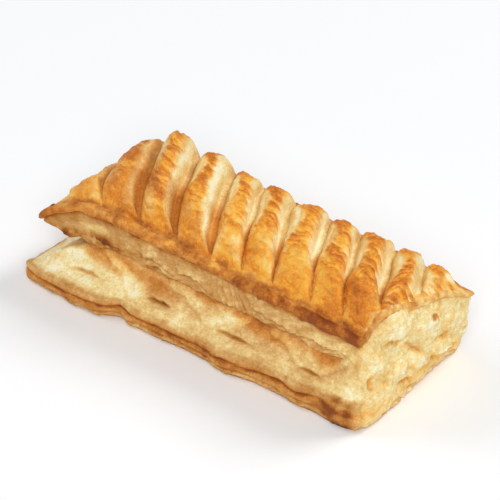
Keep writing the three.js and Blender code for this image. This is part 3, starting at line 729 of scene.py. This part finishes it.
def lid_surface(p, q):
    """Points of the lid with their browning, painted shade and bareness. Its form is the rim's sheet, set in,
    domed, and raised by rolls that rise in a power curve from their slit to a crest and fall in another to a
    flat trough, behind an apron. It is moved along its normals by wrinkles, crackle, blisters and strands,
    and browned on the backs of the rolls, with pale flanks, painted shade on the flanks' fronts and painted
    shade in the slits and in the groove behind the rim."""
    x, y, z = rim_sheet(p, q)
    x, y = x - p * LIP_INSET, y - q * LIP_INSET
    ends = 1 - np.abs(p) ** np.where(p < 0, 2.6, 6)
    dome = (DOME_RISE + DOME_LEFT_EXTRA * ((1 - p) / 2) ** 4) * (1 - np.abs(q) ** 3) * ends
    to_front, to_back = (1 + q) * BASE_WIDTH / 2, (1 - q) * BASE_WIDTH / 2
    to_left, to_right = (1 + p) * BASE_LENGTH / 2, (1 - p) * BASE_LENGTH / 2
    clear = soft_step(to_front, APRON_START, APRON_FRONT) * soft_step(to_back, APRON_START, APRON_BACK)
    clear = clear * soft_step(to_left, APRON_START, APRON_LEFT)
    clear = clear * soft_step(to_right, APRON_START, APRON_RIGHT)

    # The rolls: which one a point is on, its share of the way across, and the height there.
    roll, pitch, across, along = roll_places(x, y)
    slit, puff, glaze_share, paleness, opening, widening, pale_from = ROLLS[roll].transpose(2, 0, 1)
    opened = soft_step(to_front, opening, opening + widening) * soft_step(to_back, 3, 18)
    crest = CREST_SHARE + CREST_MORE * soft_step(slit, -40, 0) + 0.05 * noise(along / 9, roll * 3.7, 0)
    crest = crest - CREST_LESS * (roll == TALL_ROLL)
    over = across / (0.99 - 0.17 * opened)
    climb, drop = roll_profile(over, crest, opened)
    height = ROLL_HEIGHT * puff * climb * drop * (1 + 0.16 * noise(along / 8, roll * 5.3, 4))
    to_slit = np.minimum(across, 1 - across) * pitch
    slot = soft_step(over, 0.96, 1.03) * soft_step(to_front, 1.2, 3.0) * opened
    rim_line = bell(to_front, 0.9 + 0.4 * noise(x / 12, 0.5, 4), 0.9)
    rim_line = rim_line * soft_step(noise(x / 9, y / 3, 9), -0.4, 0.4)
    rise = height - 0.5 * bell(to_slit, 0, 1.8) - SLOT_DEPTH * slot
    z = z + RIM_THICKNESS + dome + clear * rise - 0.4 * rim_line
    points = np.stack([x, y, z], -1)
    travel = np.cumsum(np.linalg.norm(np.diff(points, axis=1, prepend=points[:, :1]), axis=-1), 1)

    # Where the glaze ends: the flank on the right of each roll and a strip on its left are bare.
    shows = soft_step(clear, 0.15, 0.8)
    fray = 0.05 * noise(along / 6, roll * 2.1, 8) + 0.02 * noise(along / 2, roll * 2.1, 3)
    stretched = soft_step(to_front, opening, opening + widening) * soft_step(to_back, 1, 9)
    glaze_end = 1 - (1 - glaze_share) * (0.10 + 0.90 * stretched) + fray
    glaze_start = 0.01 + 0.32 * soft_step(to_front, 14, 42) * opened * soft_step(slit, -60, -30) + fray
    flank = soft_step(across, glaze_end - 0.10, glaze_end + 0.10) * shows
    left_edge = (1 - soft_step(across, glaze_start - 0.06, glaze_start + 0.10)) * shows
    bare = np.maximum(flank, 0.7 * left_edge)

    # Relief in millimetres: wrinkles across the rolls, and strands along them where they are bare and at
    # their front ends, the toes. It fades out at the edge of the lid.
    warp = 0.9 * noise(x / 5, y / 5, 1) + 0.6 * noise(x / 2.2, y / 2.2, 6)
    wrinkle = noise(travel / 1.7 + warp, across * 1.8, roll * 4.1)
    crackle = noise(travel / 1.2, across * 7, roll * 1.7) + 0.5 * noise(x / 1.1, y / 1.1, z / 1.1)
    blister = crumble(points, 4, shift=9)
    strand = noise(travel / 14, across * 9, roll * 3.3)
    toe = (1 - soft_step(to_front, 8, 24)) * soft_step(-slit, -25, 5) * shows
    toe_strand = noise(travel / 11, across * 7, roll * 2.3)
    relief = (WRINKLE_RISE - WRINKLE_LESS * soft_step(-slit, 10, 35)) * wrinkle
    relief = relief + CRACKLE_RISE * crackle + BLISTER_RISE * blister
    relief = relief * (1 - 0.5 * toe) + TOE_STRAND_RISE * toe * toe_strand
    relief = relief * (1 - bare) + STRAND_RISE * strand * bare
    normals = np.cross(np.gradient(points, axis=0), np.gradient(points, axis=1))
    normals = normals / np.linalg.norm(normals, axis=-1, keepdims=True)
    inside = soft_step(np.maximum(np.abs(p), np.abs(q)), 1.0, 0.97)
    points = points + (relief * inside)[..., None] * normals

    # Browning of the glazed backs, in shares of the way from pale to burnt.
    toast = 0.70 * wrinkle + 0.34 * noise(travel / 8, across * 1.4, roll * 2.9)
    toast = toast + 0.22 * crackle + 0.2 * blister
    toast = toast * (0.55 + 0.60 * soft_step(to_front, 8, 26)) * (0.5 + 0.5 * soft_step(to_back, 4, 20))
    toast = toast * (1 - 0.5 * (roll == FIRST_ROLL))
    crown = (0.45 + 0.55 * soft_step(to_front, 14, 34)) * bell(across, 0.42, 0.7)
    bake_and_shade = 0.15 + 0.62 * toast + 0.34 * crown * (1 - 0.6 * (roll == TALL_ROLL))
    bake_and_shade = bake_and_shade + 0.20 * soft_step(-x, 0, 40)
    bake_and_shade = np.minimum(bake_and_shade - 0.20 * (roll == FIRST_ROLL), MOST_BAKED)
    toe_bake = 0.04 + 0.11 * soft_step(-slit, 0, 25) * (roll > SECOND_ROLL)
    bake_and_shade = bake_and_shade + (1 - soft_step(to_front, 8, 26)) * toe_bake
    front_edge = 1 - soft_step(travel + 3.0 * crumble(points, 5, shift=4), 0.2, 2.6)
    edge = np.maximum(front_edge, 1 - soft_step(to_back, 0.5, 4))
    bake_and_shade = bake_and_shade + 0.27 * edge * (1 - 0.7 * soft_step(p, 0.86, 0.96))

    # Browning of the bare flanks, from the glaze's end down to the trough, and of the corner, with painted
    # shade on the flanks' fronts, in the slits and in the groove behind the rim.
    share = np.clip((across - glaze_end) / (1 - glaze_end), 0, 1)
    flank_bake_and_shade = flank_browning_and_shade(share, slit, paleness, pale_from, to_front, strand)
    bake_and_shade = bake_and_shade * (1 - np.maximum(flank, left_edge)) + flank * flank_bake_and_shade
    bake_and_shade = bake_and_shade + left_edge * (1 - flank) * (0.14 + 0.22 * strand)
    # Darker in the groove behind the rim and along the slits: painted shade.
    bake_and_shade = bake_and_shade + 0.18 * rim_line + 0.10 * bell(to_slit, 0, 1.5) * shows
    bake_and_shade = bake_and_shade + 0.25 * bell(across, crest, 0.3) * (roll == SECOND_ROLL) * soft_step(q, 0.3, 0.7)
    bake_and_shade = bake_and_shade + 0.28 * round_patch(x, y, *LID_CORNER) * (1 - bare)
    bake_and_shade = bake_and_shade + (0.2 + 0.4 * soft_step(q, 0, 0.5)) * soft_step(-p, 0.965, 1.0)
    end_pale = soft_step(-to_right, -5, -2) * soft_step(noise(x / 3, y / 3, 7), -0.4, 0.3)
    bake_and_shade = bake_and_shade - 0.12 * end_pale

    # Bareness: troughs are golden towards the front, and the edges and the toes of the rolls are partly bare.
    golden = soft_step(share, 0.2, 0.8) * (1 - soft_step(to_front, 16, 34))
    bare = bare * (1 - 0.7 * golden * shows) * (1 - 0.15 * (roll == SECOND_ROLL))
    bare = np.maximum(bare, 0.5 * end_pale)
    bare = np.maximum(bare, np.maximum(0.5 * front_edge, 0.4 * toe * soft_step(toe_strand, -0.2, 0.4)))
    return points, bake_and_shade, bare


def lip_rings():
    """Rings of the rim's lip with their browning and bareness: the smooth lip, moved along its normals by
    lumps and by crackle, browner towards the front right corner and pale on the right end."""
    profile = carry(LIP_ROWS, LIP_STEPS)
    side, rim = profile["side"], profile["rim"]
    points = wall_form(**profile)
    x, y = points[..., 0], points[..., 1]
    lumps = crumble(points, 7, shift=5)
    crackle = crumble(points, 2.6, shift=2)
    swell = soft_step(side, 0.970, 0.98) * (1 - soft_step(rim, 0.8, 1))
    relief = (LIP_LUMP_RISE * lumps + LIP_CRACKLE_RISE * crackle) * swell
    points = points + relief[..., None] * ring_normals(points)
    ragged = 0.9 * noise(x / 6, y / 6, 3) + 0.25 * noise(x / 2, y / 2, 6)
    points[..., 2] += (ragged * (1 - RING_RIGHT) + 1.2 * RING_RIGHT) * (1 - soft_step(rim, 0, 0.7))
    bake_and_shade = 0.61 + 0.26 * lumps + 0.36 * crackle + 0.20 * soft_step(x, -20, 50) * RING_FRONT
    bake_and_shade = bake_and_shade + 0.2 * round_patch(x, y, *LIP_CORNER) + 0.3 * soft_step(-x, 66, 73)
    bake_and_shade = bake_and_shade + 0.35 * RING_LEFT * soft_step(RING_Q, 0, 0.5)
    toes = soft_step(noise(x / 6, y / 6, 5), -0.2, 0.4) * soft_step(rim, 0.2, 0.9) * RING_FRONT
    bake_and_shade = bake_and_shade - 0.36 * RING_RIGHT - 0.05 * soft_step(-x, 0, 30) - 0.18 * toes
    return points, bake_and_shade, 0.4 + 0.2 * RING_RIGHT - 0.25 * toes


def grid_faces(index):
    """Quads of a grid of vertex numbers."""
    quads = [index[:-1, :-1], index[1:, :-1], index[1:, 1:], index[:-1, 1:]]
    return np.stack(quads, -1).reshape(-1, 4)


# The lip's last ring lies on the lid's border, so it is left out and the lid is joined to the ring before it.
lid_points, lid_bake_and_shade, lid_bare = lid_surface(GRID_P, GRID_Q)
lip_points, lip_bake, lip_bare = (values[:-1] for values in lip_rings())
ring_count = lip_points.shape[1]
lid_start = lip_bake.size
lid_index = lid_start + np.arange(lid_bake_and_shade.size).reshape(lid_bake_and_shade.shape)
lid_border = border_walk(lid_index)
lip_last = np.arange(lid_start - ring_count, lid_start)
top_faces = [
    ring_faces(lip_points.shape[0], ring_count),
    np.stack([lip_last, np.roll(lip_last, -1), np.roll(lid_border, -1), lid_border], -1),
    grid_faces(lid_index),
    fan_faces(np.arange(ring_count), lid_start + lid_bake_and_shade.size, True),
]
top_points = np.concatenate([lip_points.reshape(-1, 3), lid_points.reshape(-1, 3), [lip_points[0].mean(0)]])
top_bake_and_shade = np.concatenate([lip_bake.ravel(), lid_bake_and_shade.ravel(), [MIDDLE_BAKE]])
top_bare = np.concatenate([lip_bare.ravel(), lid_bare.ravel(), [MIDDLE_BARE]])
top_sheet = mesh_piece("top_sheet", top_points, top_faces, top_bake_and_shade, top_bare)
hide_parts("pastry")
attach(top_sheet, "root")


# Studio: a plain white floor, a soft key light above and behind on the right, a fill from the front right, a
# weaker one from the left, and a camera with a long lens at the photograph's angle. Sizes here are in metres.

FLOOR_HALF = 2.0
PARCEL_MIDDLE = Vector((0, 0, 0.020))
floor_corners = [(x * FLOOR_HALF, y * FLOOR_HALF, 0) for x, y in ((-1, -1), (1, -1), (1, 1), (-1, 1))]
floor_mesh = bpy.data.meshes.new("floor")
floor_mesh.from_pydata(floor_corners, [], [(0, 1, 2, 3)])
floor = bpy.data.objects.new("floor", floor_mesh)
bpy.context.scene.collection.objects.link(floor)
floor_paint = bpy.data.materials.new("floor_paint")
floor_paint.use_nodes = True
floor_shader = floor_paint.node_tree.nodes["Principled BSDF"]
floor_shader.inputs["Base Color"].default_value = (0.97, 0.97, 0.97, 1)
floor_shader.inputs["Roughness"].default_value = 0.9
floor.data.materials.append(floor_paint)


def soft_light(name, place, size, power):
    """A square area light that faces the middle of the parcel."""
    lamp = bpy.data.lights.new(name, "AREA")
    lamp.size = size
    lamp.energy = power
    light = bpy.data.objects.new(name, lamp)
    light.location = place
    light.rotation_euler = (PARCEL_MIDDLE - Vector(place)).to_track_quat("-Z", "Y").to_euler()
    bpy.context.scene.collection.objects.link(light)


soft_light("key_light", (0.5, 1.1, 1.2), 0.6, 12)
soft_light("fill_light", (0.8, -1.0, 1.0), 0.6, 13)
soft_light("left_light", (-1.1, -0.3, 0.9), 0.8, 6)
world = bpy.data.worlds.new("studio")
bpy.context.scene.world = world
world.use_nodes = True
sky = world.node_tree.nodes["Background"]
sky.inputs["Color"].default_value = (0.91, 0.96, 1.0, 1)
sky.inputs["Strength"].default_value = 0.30
bpy.context.scene.view_settings.view_transform = "Standard"

VIEW_AZIMUTH, VIEW_ELEVATION = np.radians(38.111), np.radians(35.379)
VIEW_DISTANCE, VIEW_LENS, VIEW_SENSOR = 1.0, 205.5, 36
VIEW_SHIFT_X, VIEW_SHIFT_Y = 0.0245, 0.0331
back = Vector((np.sin(VIEW_AZIMUTH) * np.cos(VIEW_ELEVATION), -np.cos(VIEW_AZIMUTH) * np.cos(VIEW_ELEVATION),
               np.sin(VIEW_ELEVATION)))
right = Vector((np.cos(VIEW_AZIMUTH), np.sin(VIEW_AZIMUTH), 0))
lens = bpy.data.cameras.new("camera")
lens.lens, lens.sensor_width, lens.sensor_fit = VIEW_LENS, VIEW_SENSOR, "HORIZONTAL"
lens.shift_x, lens.shift_y = VIEW_SHIFT_X, VIEW_SHIFT_Y
lens.clip_start, lens.clip_end = 0.05, 20
camera = bpy.data.objects.new("camera", lens)
turn = Matrix((right, back.cross(right), back)).transposed()
camera.matrix_world = Matrix.Translation(PARCEL_MIDDLE + back * VIEW_DISTANCE) @ turn.to_4x4()
bpy.context.scene.collection.objects.link(camera)
bpy.context.scene.camera = camera
